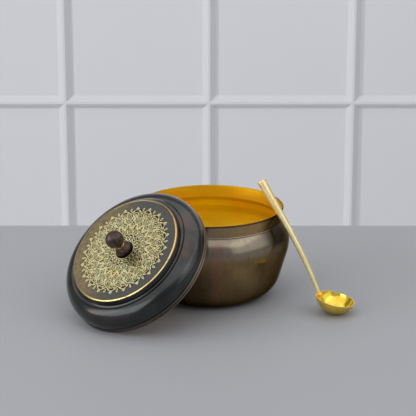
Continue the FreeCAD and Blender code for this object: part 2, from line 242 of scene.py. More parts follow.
def spun(name, profile, closed=False):
    """Draws the profile by extruding one point, and spins it about the Z axis."""
    points = profile.points + profile.points[:1] if closed else profile.points
    bpy.ops.object.select_all(action="DESELECT")
    first = points[0]
    bpy.ops.mesh.primitive_plane_add(size=MM, location=(first[0] * MM, 0, first[1] * MM))
    obj = bpy.context.object
    obj.name = name
    bpy.ops.object.transform_apply(location=True)
    edit_only(obj)
    bpy.ops.mesh.merge(type="CENTER")
    for here, there in zip(points, points[1:]):
        step = ((there[0] - here[0]) * MM, 0, (there[1] - here[1]) * MM)
        bpy.ops.mesh.extrude_vertices_move(TRANSFORM_OT_translate={"value": step})
    bpy.ops.mesh.select_all(action="SELECT")
    bpy.ops.mesh.spin(steps=ROUND_STEPS, angle=math.tau, center=(0, 0, 0), axis=(0, 0, 1))
    bpy.ops.mesh.select_all(action="SELECT")
    bpy.ops.mesh.remove_doubles(threshold=JOIN_DISTANCE)
    bpy.ops.mesh.normals_make_consistent(inside=False)
    leave_edit()
    smooth(obj, SPUN_SMOOTH)
    return obj


def smooth(obj, angle):
    pick(obj)
    bpy.ops.object.shade_smooth_by_angle(angle=math.radians(angle))


def place(obj, matrix):
    """Moves the mesh and leaves its object at the origin."""
    pick(obj)
    obj.matrix_world = matrix
    bpy.ops.object.transform_apply(location=True, rotation=True, scale=True)
    return obj


def finish(obj, body, slot, *materials):
    """Gives a piece its materials and the body that it moves with. The slot is not used."""
    for material in materials:
        obj.data.materials.append(material)
    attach(obj, body)


def spoke(face):
    """From the axis out to the middle of a face."""
    return Vector((face.center.x, face.center.y, 0))


def outwards(face):
    """How far a face looks away from the axis."""
    return face.normal.dot(spoke(face).normalized())


def line_inside(obj, is_inside):
    """Gives the second material to the faces that are inside."""
    for face in obj.data.polygons:
        face.material_index = 1 if is_inside(face) else 0


def ring_centre(node, axis, top):
    """Centre of a CAD node's last ring of points along an axis."""
    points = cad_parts[node].data.vertices
    spots = {tuple(round(value, POINT_DIGITS) for value in point.co) for point in points}
    spots = [Vector(spot) for spot in spots]
    end = max(spots, key=lambda spot: spot.dot(axis) * (1 if top else -1)).dot(axis)
    ring = [spot for spot in spots if abs(spot.dot(axis) - end) < RING_DEPTH * MM]
    return sum(ring, Vector()) / len(ring)


def leaning(side, tilt, roll=0):
    """Turned towards a side, rolled and tilted, in degrees."""
    turn = Matrix.Rotation(math.radians(side), 4, "Z")
    turn = turn @ Matrix.Rotation(math.radians(roll), 4, "X")
    return turn @ Matrix.Rotation(math.radians(tilt), 4, "Y")


# ---- materials

# Sockets that share a name with others, by their place on the node
OBJECT_COORDINATES = 3
MIX_SHARE, MIX_FIRST, MIX_SECOND, MIX_RESULT = 0, 6, 7, 2

# Sides of the pot: angles about its axis, 0 at the right and -90 in front
POT_RIGHT = 0
# where the painted dark reflection of the spoon's handle lies on the shoulder
POT_HANDLE_REFLECTED = -29
POT_STREAKED = -85

# Sides of the leaning lid: angles about its own axis
# the low side, which takes painted shade
LID_LOW = 30
# the side where the bead is worn to gold and carries a painted highlight
BEAD_GOLD_AND_HIGHLIGHT_SIDE = 65
LID_TOWARD_POT = 125
BEAD_COPPER_SIDE = 145
LACE_BROWN_SIDE = 150
DISC_RUBBED_SIDE = 285

# The pot's outside
PATINA_BROWN = paint(150, 127, 88)
PATINA_DEEP = paint(130, 107, 74)
# painted highlight: a lighter, greyer band where the shoulder shines
SHOULDER_HIGHLIGHT_GREY = paint(148, 137, 120)
NECK_BROWN = paint(134, 116, 98)
NECK_GOLD = paint(178, 146, 96)
# painted reflection: the neck turns dark where the spoon's handle is mirrored in it
NECK_HANDLE_REFLECTION = paint(66, 54, 38)
MOTTLE_BROWN = paint(92, 76, 58)
BRUSHED_BROWN = paint(168, 150, 116)
FINE_STREAK = paint(100, 78, 52)
BROAD_STREAK = paint(104, 74, 56)
# pale crease line: rubbed brass and a painted highlight
CREASE_RUB_AND_HIGHLIGHT = paint(190, 182, 158)
CREASE_SHADE = paint(48, 42, 38)
# painted shade towards the base
LOW_SHADE_BROWN = paint(70, 52, 30)
# painted shade on the right side
RIGHT_SHADE_BROWN = paint(66, 60, 46)
# painted reflection: the spoon handle's dark image on the shoulder
HANDLE_REFLECTION_BROWN = paint(26, 21, 14)
# painted shade on the left, next to the lid
LEFT_SHADE_BROWN = paint(54, 46, 36)
WARM_STREAK = paint(160, 108, 92)
LIP_BROWN = paint(52, 40, 30)
PATINA_SHINE = paint(166, 160, 150)

# The pot's inside
GOLD = paint(255, 226, 52)
GOLD_DEEP = paint(255, 214, 42)
NECK_INSIDE = paint(255, 212, 36)
NECK_INSIDE_DEEP = paint(255, 200, 28)
GOLD_BRUSHED = paint(255, 236, 96)
GOLD_SCRATCH = paint(216, 168, 40)
# painted shade inside, under the crease
INSIDE_CREASE_SHADE = paint(160, 106, 16)
# painted shade inside, on the belly
INSIDE_BELLY_SHADE = paint(170, 116, 20)
# painted shade at the inner lip
INSIDE_LIP_SHADE = paint(120, 88, 40)

# The lid, its disc and its lace
LID_GREY = paint(70, 72, 70)
LID_DEEP = paint(50, 50, 49)
LID_BRUSHED = paint(92, 94, 92)
LID_BROWN = paint(108, 80, 64)
# painted shade on the skirt below the shoulder
SKIRT_SHADE = paint(36, 34, 32)
# worn copper and a painted highlight on the hem's rolls
HEM_WEAR_AND_HIGHLIGHT = paint(158, 134, 108)
# painted shade on the lid's low side
LOW_SIDE_SHADE = paint(30, 30, 29)
# painted shade in the groove
GROOVE_SHADE = paint(18, 16, 16)
DISC_GREY = paint(94, 94, 90)
DISC_DEEP = paint(70, 70, 68)
LACE_GROUND = paint(30, 30, 38)
DISC_RUBBED = paint(134, 118, 84)
BEAD_COPPER = paint(160, 98, 62)
BEAD_GOLD = paint(214, 184, 104)
# painted highlight on the bead's gold
BEAD_HIGHLIGHT = paint(255, 230, 150)
LACE_PALE = paint(255, 246, 186)
LACE_DEEP = paint(254, 236, 164)
LACE_BROWN = paint(170, 144, 96)
LACE_GRAIN = paint(170, 154, 104)
LINING = paint(232, 184, 70)
LINING_PALE = paint(246, 206, 96)

PLAIN_METALS = {  # light shade, dark shade, roughness, size of the clouds, metallic
    "dark_knob": (paint(98, 78, 70), paint(64, 50, 46), 0.34, 0.35, 0.8),
    "bright_brass": (paint(232, 192, 108), paint(206, 160, 84), 0.25, 0.5, 1.0),
    "spoon_bowl_brass": (paint(255, 234, 104), paint(255, 210, 62), 0.15, 0.2, 0.8),
    "spoon_bowl_back": (paint(240, 208, 96), paint(222, 186, 78), 0.28, 0.2, 0.85),
    "pale_satin_brass": (paint(254, 236, 182), paint(244, 220, 154), 0.34, 0.3, 0.62),
    "braze": (paint(255, 216, 80), paint(250, 190, 58), 0.36, 0.8, 0.7),
}

AXIS_RADIUS = 0.001  # the smallest that a radius is divided by
Polar = namedtuple("Polar", "radius height sine cosine")


class Finish:
    """A material with its colour so far, and short ways to its nodes."""

    def __init__(self, name):
        self.material = bpy.data.materials.new(name)
        self.material.use_nodes = True
        self.tree = self.material.node_tree
        self.shader = self.tree.nodes["Principled BSDF"]
        self.colour = None

    def node(self, kind, *inputs, output=0, **settings):
        """Adds a node, feeds its inputs in their order and gives one of its outputs."""
        made = self.tree.nodes.new("ShaderNode" + kind)
        for key, value in settings.items():
            setattr(made, key, value)
        for socket, value in zip(made.inputs, inputs):
            self.feed(socket, value)
        return made.outputs[output]

    def feed(self, socket, value):
        if isinstance(value, bpy.types.NodeSocket):
            self.tree.links.new(value, socket)
        else:
            socket.default_value = value

    def set(self, **sockets):
        """Feeds the shader's sockets by their names."""
        for name, value in sockets.items():
            self.feed(self.shader.inputs[name.replace("_", " ").title()], value)

    def maths(self, operation, *values):
        return self.node("Math", *values, operation=operation)

    def both(self, *shares):
        """The product of the shares."""
        product = shares[0]
        for share in shares[1:]:
            product = self.maths("MULTIPLY", product, share)
        return product

    def in_millimetres(self, place_at):
        return self.node("VectorMath", place_at, (1 / MM,) * 3, operation="MULTIPLY")

    def spot(self):
        """Where a point is, in millimetres."""
        return self.in_millimetres(self.node("TexCoord", output=OBJECT_COORDINATES))

    def turned(self, matrix):
        """Where a point is in a leaning piece's own frame, in millimetres."""
        back = matrix.inverted()
        coordinates = self.node("TexCoord", output=OBJECT_COORDINATES)
        shift, turn = tuple(back.translation), tuple(back.to_euler())
        return self.in_millimetres(self.node("Mapping", coordinates, shift, turn, (1, 1, 1)))

    def polar(self, spot):
        """Radius, height, and the sine and cosine of the angle about the axis."""
        parts = self.tree.nodes.new("ShaderNodeSeparateXYZ")
        self.feed(parts.inputs[0], spot)
        x, y, z = parts.outputs
        radius = self.maths("SQRT", self.maths("ADD", self.both(x, x), self.both(y, y)))
        safe = self.maths("MAXIMUM", radius, AXIS_RADIUS)
        return Polar(radius, z, self.maths("DIVIDE", y, safe), self.maths("DIVIDE", x, safe))

    def noise(self, vector, scale, detail=3.0, rough=0.5, w=None):
        made = self.tree.nodes.new("ShaderNodeTexNoise")
        made.noise_dimensions = "4D" if w is not None else "3D"
        self.feed(made.inputs["Vector"], vector)
        made.inputs["Scale"].default_value = scale
        made.inputs["Detail"].default_value = detail
        made.inputs["Roughness"].default_value = rough
        if w is not None:
            self.feed(made.inputs["W"], w)
        return made.outputs[0]

    def brushing(self, polar, fine, around):
        """Fine marks that run round the axis."""
        vector = self.node(
            "CombineXYZ",
            self.both(polar.radius, fine),
            self.both(polar.height, fine),
            self.both(polar.sine, around),
        )
        turn = self.both(polar.cosine, around)
        return self.noise(vector, scale=1.0, detail=4.0, rough=0.6, w=turn)

    def streaks(self, polar, around, along):
        """Marks that run along the axis."""
        vector = self.node(
            "CombineXYZ",
            self.both(polar.cosine, around),
            self.both(polar.sine, around),
            self.both(polar.height, along),
        )
        return self.noise(vector, scale=1.0, detail=3.0, rough=0.55)

    def between(self, value, low, high, start=0.0, end=1.0):
        """A smooth step from start at low to end at high.

        Heights and radii are in millimetres. A side is a cosine, one right at that side.
        """
        return self.node("MapRange", value, low, high, start, end, interpolation_type="SMOOTHSTEP")

    def band(self, value, middle, half, soft):
        """One inside a band about its middle, falling to nothing at its soft edges."""
        away = self.maths("ABSOLUTE", self.maths("SUBTRACT", value, middle))
        return self.between(away, half + soft, half)

    def toward(self, polar, angle):
        """Cosine of how far round the axis a point is from an angle."""
        across, along = self.both(polar.cosine, cos(angle)), self.both(polar.sine, sin(angle))
        return self.maths("ADD", across, along)

    def mix(self, share, first, second):
        """The first colour where the share is nothing, the second where it is one."""
        made = self.tree.nodes.new("ShaderNodeMix")
        made.data_type = "RGBA"
        self.feed(made.inputs[MIX_SHARE], share)
        self.feed(made.inputs[MIX_FIRST], first)
        self.feed(made.inputs[MIX_SECOND], second)
        return made.outputs[MIX_RESULT]

    def tint(self, colour, *shares):
        """Lays a colour over the colour so far, by the product of the shares."""
        self.colour = self.mix(self.both(*shares), self.colour, colour)

    def bump(self, height, depth):
        """Raises the surface by a depth in millimetres."""
        made = self.tree.nodes.new("ShaderNodeBump")
        made.inputs["Strength"].default_value = 1.0
        made.inputs["Distance"].default_value = depth * MM
        self.feed(made.inputs["Height"], height)
        self.feed(self.shader.inputs["Normal"], made.outputs[0])


def patina():
    """Brown antique brass, streaked, with a golden neck, a painted highlight band on the greyer
    shoulder, a painted highlight and shade at the crease, the spoon handle's painted dark
    reflection, and painted shade on both sides and towards the base.
    """
    look = Finish("antique_brass_outside")
    spot = look.spot()
    polar = look.polar(spot)
    height = polar.height
    right = look.toward(polar, POT_RIGHT)
    marks = look.brushing(polar, fine=1.6, around=1.5)
    cloud = look.noise(spot, scale=0.045)
    mottle = look.noise(spot, scale=0.4, detail=4.0, rough=0.6)
    look.colour = look.mix(look.between(cloud, 0.35, 0.65), PATINA_BROWN, PATINA_DEEP)
    # painted highlight: a broad lighter, greyer band on the shoulder
    look.tint(SHOULDER_HIGHLIGHT_GREY, look.band(height, 50.5, half=5.0, soft=7.0))

    neck = look.mix(look.between(right, -0.3, 0.9), NECK_BROWN, NECK_GOLD)
    # painted dark reflection of the spoon's handle on the neck's right side
    neck = look.mix(look.between(right, 0.62, 0.8, end=0.85), neck, NECK_HANDLE_REFLECTION)
    look.tint(neck, look.between(height, CREASE_HEIGHT - 0.2, CREASE_HEIGHT + 0.6))
    look.tint(MOTTLE_BROWN, look.between(mottle, 0.45, 0.8, end=0.35))
    look.tint(BRUSHED_BROWN, look.between(marks, 0.5, 0.8, end=0.3))

    below_shoulder = look.between(height, 52, 40, start=0.3)
    streak = look.streaks(polar, around=28, along=0.05)
    look.tint(FINE_STREAK, look.between(streak, 0.45, 0.7, end=0.22), below_shoulder)
    streak = look.streaks(polar, around=9, along=0.03)
    left = look.between(right, 0.6, -0.3, start=0.15, end=0.5)
    look.tint(BROAD_STREAK, look.between(streak, 0.48, 0.64), left, below_shoulder)

    # a pale line on the crease, rubbed brass and a painted highlight, and a thin painted shade
    # just under it
    look.tint(CREASE_RUB_AND_HIGHLIGHT, look.band(height, CREASE_HEIGHT, half=0.3, soft=0.3), 0.35)
    look.tint(CREASE_SHADE, look.band(height, CREASE_HEIGHT - 0.95, half=0.2, soft=0.3), 0.25)
    # painted shade: darker towards the base, near the table
    look.tint(LOW_SHADE_BROWN, look.between(height, 34, 4, end=0.35))
    # painted shade: the right side darker, below the neck
    look.tint(RIGHT_SHADE_BROWN, look.between(right, 0.6, 1.0, end=0.6), look.between(height, 60, 50))
    # painted dark reflection of the spoon's handle, a narrow arc on the shoulder
    handle_reflection = look.both(
        look.between(look.toward(polar, POT_HANDLE_REFLECTED), 0.97, 0.999),
        look.band(height, 50, half=3.0, soft=6.0),
        look.between(cloud, 0.2, 0.6, start=0.6),
    )
    look.tint(HANDLE_REFLECTION_BROWN, handle_reflection, 0.75)
    # painted shade on the upper left, next to the lid
    look.tint(LEFT_SHADE_BROWN, look.between(right, 0.3, -0.15, end=0.5), look.between(height, 52, 42))
    warm = look.between(look.toward(polar, POT_STREAKED), 0.994, 0.9998, end=0.25)
    look.tint(WARM_STREAK, warm, look.between(height, 56, 50))
    look.tint(LIP_BROWN, look.between(height, POT_HEIGHT - 1.6, POT_HEIGHT - 0.7), 0.85)

    look.set(
        base_color=look.colour,
        metallic=0.95,
        roughness=look.between(marks, 0.2, 0.8, start=0.16, end=0.25),
        specular_tint=PATINA_SHINE,
    )
    look.bump(marks, depth=0.006)
    return look.material


def gold_inside():
    """Golden inside of the pot, finely brushed round its axis, with painted shade under the
    crease, on the belly and at the lip.
    """
    look = Finish("golden_inside")
    spot = look.spot()
    polar = look.polar(spot)
    height = polar.height
    marks = look.brushing(polar, fine=2.2, around=2.0)
    cloud = look.between(look.noise(spot, scale=0.05), 0.3, 0.7)
    look.colour = look.mix(cloud, GOLD, GOLD_DEEP)
    neck = look.mix(cloud, NECK_INSIDE, NECK_INSIDE_DEEP)
    look.tint(neck, look.between(height, CREASE_HEIGHT - 2, CREASE_HEIGHT + 1))
    look.tint(GOLD_BRUSHED, look.between(marks, 0.45, 0.8, end=0.45))
    scratch = look.streaks(polar, around=60, along=0.12)
    look.tint(GOLD_SCRATCH, look.between(scratch, 0.5, 0.75, end=0.15))
    # painted shade: a dark band inside, just under the crease
    look.tint(INSIDE_CREASE_SHADE, look.band(height, CREASE_HEIGHT - 1.0, half=0.4, soft=1.8), 0.45)
    # painted shade: a soft dark band inside the belly
    look.tint(INSIDE_BELLY_SHADE, look.band(height, 46, half=1.0, soft=3.0), 0.25)
    # painted shade: darker gold at the inner lip
    look.tint(INSIDE_LIP_SHADE, look.between(height, POT_HEIGHT - 0.9, POT_HEIGHT - 0.4), 0.45)
    look.set(
        base_color=look.colour,
        metallic=1.0,
        roughness=look.between(marks, 0.2, 0.8, start=0.4, end=0.56),
    )
    look.bump(marks, depth=0.02)
    return look.material


def lid_black(lid):
    """Blackened brass, worn to gold and copper along the bead of the raised middle, with painted
    highlights on the bead and the hem, and painted shade on the skirt, the low side and the
    groove.
    """
    look = Finish("blackened_brass")
    spot = look.turned(lid)
    polar = look.polar(spot)
    radius, height = polar.radius, polar.height
    marks = look.brushing(polar, fine=1.6, around=1.5)
    cloud = look.noise(spot, scale=0.05, detail=4.0, rough=0.55)
    grain = look.noise(spot, scale=1.3, rough=0.6)
    look.colour = look.mix(look.between(cloud, 0.35, 0.65), LID_GREY, LID_DEEP)
    look.tint(LID_BRUSHED, look.between(marks, 0.5, 0.8, end=0.4))
    brown = look.noise(spot, scale=0.05, detail=2.0, w=9.0)
    look.tint(LID_BROWN, look.between(brown, 0.52, 0.72, end=0.5))
    # painted shade: the skirt below the shoulder is darker
    skirt = look.between(height, SHOULDER_HEIGHT - 0.4, GROOVE_FOOT + GROOVE_WIDTH)
    look.tint(SKIRT_SHADE, skirt, 0.7)

    # The hem and the band show worn metal, most of all on the side that faces the pot, with a
    # painted highlight along the crests of their rolls.
    worn = look.between(look.toward(polar, LID_TOWARD_POT), -0.2, 0.9, start=0.6, end=0.9)
    rolls = look.maths(
        "MAXIMUM",
        look.band(height, HEM_HEIGHT + BAND_HEIGHT / 2, half=0.35, soft=0.5),
        look.band(height, HEM_HEIGHT / 2, half=0.3, soft=0.5),
    )
    outside = look.between(radius, LID_BORE + 0.4, LID_BORE + 0.7)
    look.tint(HEM_WEAR_AND_HIGHLIGHT, rolls, worn, outside)
    # painted shade: the low side of the lid darker
    look.tint(LOW_SIDE_SHADE, look.between(look.toward(polar, LID_LOW), 0.2, 0.9, end=0.6))
    # painted shade: a dark line in the groove
    look.tint(GROOVE_SHADE, look.band(height, GROOVE_MIDDLE, half=0.3, soft=0.3), 0.9)

    # The ornamented disc is grey and grainy, dark under the lace, and golden brown on the
    # side that hands rub.
    on_disc = look.both(
        look.between(radius, MIDDLE_RADIUS - 1.2, MIDDLE_RADIUS - 2.0),
        look.between(height, DISC_HEIGHT - 0.6, DISC_HEIGHT - 0.3),
    )
    disc = look.mix(look.between(grain, 0.3, 0.7), DISC_GREY, DISC_DEEP)
    laced = look.between(radius, LACE_REACH + 0.6, LACE_REACH - 0.6, end=0.9)
    disc = look.mix(laced, disc, LACE_GROUND)
    rubbed = look.both(
        look.between(look.toward(polar, DISC_RUBBED_SIDE), -0.1, 0.8),
        look.between(radius, 24, 36),
        look.between(look.noise(spot, scale=0.3, detail=4.0, rough=0.6), 0.35, 0.6, start=0.35),
    )
    look.tint(look.mix(rubbed, disc, DISC_RUBBED), on_disc)

    # Wear of the bead round the disc: gold inside, copper on its outer side, and a painted
    # highlight that brightens the gold towards one side.
    level = look.between(height, RISER_TOP - 0.4, RISER_TOP)
    copper = look.both(
        look.band(radius, MIDDLE_RADIUS - 0.1, half=0.3, soft=0.35),
        look.between(look.toward(polar, BEAD_COPPER_SIDE), 0.6, 0.9, start=0.15),
        level,
    )
    look.tint(BEAD_COPPER, copper)
    gold_and_highlight_side = look.toward(polar, BEAD_GOLD_AND_HIGHLIGHT_SIDE)
    gold = look.both(
        look.band(radius, MIDDLE_RADIUS - 0.95, half=0.4, soft=0.35),
        look.between(gold_and_highlight_side, -0.1, 0.5, start=0.35),
        level,
        look.between(look.noise(spot, scale=0.14, detail=4.0, rough=0.7), 0.3, 0.5, start=0.45),
    )
    look.tint(look.mix(look.between(gold_and_highlight_side, 0.2, 0.95), BEAD_GOLD, BEAD_HIGHLIGHT), gold)

    look.set(
        base_color=look.colour,
        metallic=0.95,
        roughness=look.mix(
            on_disc,
            look.between(marks, 0.2, 0.8, start=0.17, end=0.29),
            look.between(grain, 0.3, 0.7, start=0.1, end=0.22),
        ),
        coat_weight=look.both(look.maths("SUBTRACT", 1, on_disc), 0.55),
        coat_roughness=0.16,
    )
    look.bump(look.mix(on_disc, marks, grain), depth=0.012)
    return look.material


def lace_gold(lid):
    """Pale gold of the raised lace, a little browner towards the pot."""
    look = Finish("lace_gold")
    spot = look.turned(lid)
    polar = look.polar(spot)
    cloud = look.noise(spot, scale=0.12, rough=0.6)
    grain = look.noise(spot, scale=2.0, rough=0.6)
    look.colour = look.mix(look.between(cloud, 0.3, 0.7), LACE_PALE, LACE_DEEP)
    look.tint(LACE_BROWN, look.between(look.toward(polar, LACE_BROWN_SIDE), -0.3, 0.9), 0.1)
    look.tint(LACE_GRAIN, look.between(grain, 0.5, 0.8, end=0.4))
    look.set(
        base_color=look.colour,
        metallic=0.8,
        roughness=look.between(grain, 0.3, 0.7, start=0.18, end=0.3),
    )
    look.bump(grain, depth=0.004)
    return look.material


def lid_lining(lid):
    """Golden inside of the lid, finely brushed."""
    look = Finish("lid_lining")
    marks = look.brushing(look.polar(look.turned(lid)), fine=2.2, around=2.0)
    look.set(
        base_color=look.mix(look.between(marks, 0.3, 0.7), LINING, LINING_PALE),
        metallic=1.0,
        roughness=look.between(marks, 0.2, 0.8, start=0.3, end=0.44),
    )
    look.bump(marks, depth=0.02)
    return look.material


def plain_metal(name):
    """Metal with soft clouds of two shades, and fine marks in it."""
    light, dark, roughness, cloud_scale, metallic = PLAIN_METALS[name]
    look = Finish(name)
    spot = look.spot()
    cloud = look.noise(spot, scale=cloud_scale, detail=4.0, rough=0.6)
    fine = look.noise(spot, scale=3.0, rough=0.6)
    look.set(
        base_color=look.mix(look.between(cloud, 0.35, 0.65), light, dark),
        metallic=metallic,
        roughness=look.between(fine, 0.3, 0.7, start=roughness - 0.05, end=roughness + 0.07),
    )
    look.bump(fine, depth=0.015)
    return look.material


# ---- pot


def pot_profile():
    """Outside from the middle of the base up to the rim, then the inside back down."""
    belly_radius = RIM_RADIUS + BELLY_SWELL
    crease_radius = RIM_RADIUS - NECK_DRAW
    belly = (belly_radius - BELLY_ROUND, BELLY_HEIGHT)
    side_top = (
        belly[0] + BELLY_ROUND * cos(SIDE_FLARE),
        belly[1] - BELLY_ROUND * sin(SIDE_FLARE),
    )
    side_length = (side_top[1] - HEEL_ROUND * (1 - sin(SIDE_FLARE))) / cos(SIDE_FLARE)
    side_foot = (
        side_top[0] - side_length * sin(SIDE_FLARE),
        side_top[1] - side_length * cos(SIDE_FLARE),
    )
    heel = (side_foot[0] - HEEL_ROUND * cos(SIDE_FLARE), HEEL_ROUND)
    bead_foot = (crease_radius, CREASE_HEIGHT - CREASE_BEAD)
    across = belly_radius - bead_foot[0]
    rise = bead_foot[1] - BELLY_HEIGHT
    upper_round = (across**2 + rise**2) / (2 * across)
    upper = (belly_radius - upper_round, BELLY_HEIGHT)
    rim_height = POT_HEIGHT - POT_WALL / 2

    profile = Profile(0, 0)
    for share in (0.25, 0.5, 0.75, 1):
        profile.line(heel[0] * share, 0)
    profile.around(heel, side_foot)
    profile.line(*side_top)
    profile.around(belly, (belly_radius, BELLY_HEIGHT))
    profile.around(upper, bead_foot)
    profile.arc(
        (crease_radius + CREASE_BEAD, CREASE_HEIGHT),
        (crease_radius, CREASE_HEIGHT + CREASE_BEAD),
    )
    profile.line(RIM_RADIUS, rim_height)
    profile.arc((RIM_RADIUS - POT_WALL / 2, POT_HEIGHT), (RIM_RADIUS - POT_WALL, rim_height))
    profile.line(crease_radius - POT_WALL, CREASE_HEIGHT)
    shrink = (upper_round - POT_WALL) / upper_round
    inner_foot = (
        upper[0] + (bead_foot[0] - upper[0]) * shrink,
        upper[1] + (bead_foot[1] - upper[1]) * shrink,
    )
    profile.line(*inner_foot)
    profile.around(upper, (belly_radius, BELLY_HEIGHT))
    profile.around(belly, side_top)
    profile.line(
        side_foot[0] - POT_WALL * cos(SIDE_FLARE), side_foot[1] + POT_WALL * sin(SIDE_FLARE)
    )
    profile.around(heel, (heel[0], 0))
    for share in (0.75, 0.5, 0.25, 0):
        profile.line(heel[0] * share, POT_WALL)
    return profile


def make_pot():
    pot = spun("pot_body_spun", pot_profile())
    finish(pot, "pot", "antique_brass", patina(), gold_inside())

    def is_inside(face):
        return outwards(face) < -POT_INWARD or face.normal.z > POT_FLOOR_UP

    line_inside(pot, is_inside)
    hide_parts("pot_body")


# ---- lid

LID_BORE = RIM_RADIUS + LID_PLAY
# It stands on the table, and the upper side of its open edge lies LID_ABOVE_RIM over the rim.
LID_TILT = math.degrees(math.asin((POT_HEIGHT + LID_ABOVE_RIM) / (2 * LID_BORE)))
GROOVE_FOOT = HEM_HEIGHT + BAND_HEIGHT
GROOVE_MIDDLE = GROOVE_FOOT + GROOVE_WIDTH / 2
SHOULDER_RADIUS = LID_BORE + SHOULDER_SWELL
SHOULDER_HEIGHT = GROOVE_FOOT + GROOVE_WIDTH + SHOULDER_RISE
SHOULDER_CENTRE = (SHOULDER_RADIUS - SHOULDER_ROUND, SHOULDER_HEIGHT)
COVE_EDGE_RADIUS = SHOULDER_RADIUS - SHOULDER_WIDTH
RISER_FOOT_RADIUS = COVE_EDGE_RADIUS - COVE_WIDTH
MIDDLE_RADIUS = RISER_FOOT_RADIUS - RISER_LEAN
COVE_HEIGHT = SHOULDER_HEIGHT + math.sqrt(
    SHOULDER_ROUND**2 - (COVE_EDGE_RADIUS - SHOULDER_CENTRE[0]) ** 2
)
RISER_TOP = COVE_HEIGHT + RISER_HEIGHT
DISC_HEIGHT = RISER_TOP + EDGE_BEAD_RISE - DISC_SINK


def shoulder_point(round_radius, height):
    """Where the shoulder's round is at a height."""
    drop = SHOULDER_HEIGHT - height
    return (SHOULDER_CENTRE[0] + math.sqrt(round_radius**2 - drop**2), height)


def lid_profile():
    """Outside from the hem up to the knob's hole, then the inside back down to the seat ring."""
    skirt = LID_BORE + LID_SHEET
    nick = skirt - HEM_NICK
    inner_round = SHOULDER_ROUND - LID_SHEET
    cove_middle = (RISER_FOOT_RADIUS + COVE_EDGE_RADIUS) / 2
    inner_cove = SHOULDER_HEIGHT + math.sqrt(
        inner_round**2 - (COVE_EDGE_RADIUS - SHOULDER_CENTRE[0]) ** 2
    )
    underside = DISC_HEIGHT - LID_SHEET

    profile = Profile(LID_BORE, 0)
    profile.arc((skirt, HEM_HEIGHT / 2), (nick, HEM_HEIGHT))
    profile.arc((skirt - BAND_SET_BACK, HEM_HEIGHT + BAND_HEIGHT / 2), (nick, GROOVE_FOOT))
    profile.arc(
        (skirt - GROOVE_DEPTH, GROOVE_MIDDLE),
        shoulder_point(SHOULDER_ROUND, GROOVE_FOOT + GROOVE_WIDTH),
    )
    profile.around(SHOULDER_CENTRE, (COVE_EDGE_RADIUS, COVE_HEIGHT))
    profile.arc((cove_middle, COVE_HEIGHT - COVE_DEPTH), (RISER_FOOT_RADIUS, COVE_HEIGHT))
    profile.line(MIDDLE_RADIUS, RISER_TOP)
    profile.arc(
        (MIDDLE_RADIUS - EDGE_BEAD_WIDTH / 2, RISER_TOP + EDGE_BEAD_RISE),
        (MIDDLE_RADIUS - EDGE_BEAD_WIDTH, DISC_HEIGHT),
    )
    for share in (0.75, 0.5, 0.25):
        profile.line(MIDDLE_RADIUS * share, DISC_HEIGHT)
    profile.line(HOLE_RADIUS, DISC_HEIGHT)
    profile.line(HOLE_RADIUS, underside)
    for share in (0.25, 0.5, 0.75):
        profile.line(MIDDLE_RADIUS * share, underside)
    profile.line(MIDDLE_RADIUS - LID_SHEET, underside)
    profile.line(RISER_FOOT_RADIUS - LID_SHEET, inner_cove)
    profile.arc((cove_middle, inner_cove - COVE_DEPTH), (COVE_EDGE_RADIUS, inner_cove))
    profile.around(
        SHOULDER_CENTRE, shoulder_point(inner_round, GROOVE_MIDDLE + SEAT_RING_HEIGHT / 2)
    )
    profile.arc(
        (LID_BORE - SEAT_RING, GROOVE_MIDDLE),
        (LID_BORE, GROOVE_MIDDLE - SEAT_RING_HEIGHT / 2),
    )
    return profile


def make_lid(lid):
    shell = spun("lid_shell_spun", lid_profile(), closed=True)
    finish(shell, "lid", "blackened_brass", lid_black(lid), lid_lining(lid))

    def is_inside(face):
        if spoke(face).length > (LID_BORE - LID_SHEET) * MM:
            return outwards(face) < 0
        inward = outwards(face) < -LID_INWARD and face.normal.z < LID_DOWN
        return inward or face.normal.z < -LID_DOWN

    line_inside(shell, is_inside)
    place(shell, lid)
    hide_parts("lid_shell")


def make_knob(lid, knob_finish, brass):
    """Foot, collar and ball, stacked on the middle of the disc."""
    base = DISC_HEIGHT
    foot = Profile(HOLE_RADIUS, base)
    foot.line(FOOT_RADIUS - FOOT_BASE_INSET, base)
    foot.arc((FOOT_RADIUS, base + FOOT_EDGE), (FOOT_CROWN_RADIUS, base + FOOT_CROWN))
    foot.line(NECK_RADIUS, base + FOOT_HEIGHT - FOOT_BASE_INSET)
    foot.line(NECK_RADIUS, base + FOOT_HEIGHT)
    foot.line(HOLE_RADIUS, base + FOOT_HEIGHT)

    collar_foot = base + FOOT_HEIGHT
    ball_foot = collar_foot + COLLAR_HEIGHT
    half = COLLAR_HEIGHT / 2
    collar = Profile(HOLE_RADIUS, collar_foot)
    collar.line(COLLAR_RADIUS - half, collar_foot)
    collar.arc((COLLAR_RADIUS, collar_foot + half), (COLLAR_RADIUS - half, ball_foot))
    collar.line(HOLE_RADIUS, ball_foot)

    stem_top = ball_foot + BALL_NECK
    centre = stem_top + math.sqrt(BALL_RADIUS**2 - NECK_RADIUS**2)
    ball = Profile(0, ball_foot)
    ball.line(NECK_RADIUS, ball_foot)
    ball.line(NECK_RADIUS, stem_top)
    ball.arc((BALL_RADIUS, centre), (0, centre + BALL_RADIUS))

    for name, profile, closed, slot, look in (
        ("knob_foot", foot, True, "knob", knob_finish),
        ("knob_collar", collar, True, "bright_brass", brass),
        ("knob_ball", ball, False, "knob", knob_finish),
    ):
        piece = spun(name + "_turned", profile, closed)
        place(piece, lid)
        finish(piece, "lid", slot, look)
        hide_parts(name)


# ---- lace
#
# Twenty equal sectors, each with a tip on its middle line and a bud on its edge. A place is an
# angle from the sector's middle line and a radius about the lid's axis.

EDGE = 180 / LACE_SECTORS  # from a sector's middle line to its edge
PETAL_STEPS = 8
ARCH_STEPS = 7


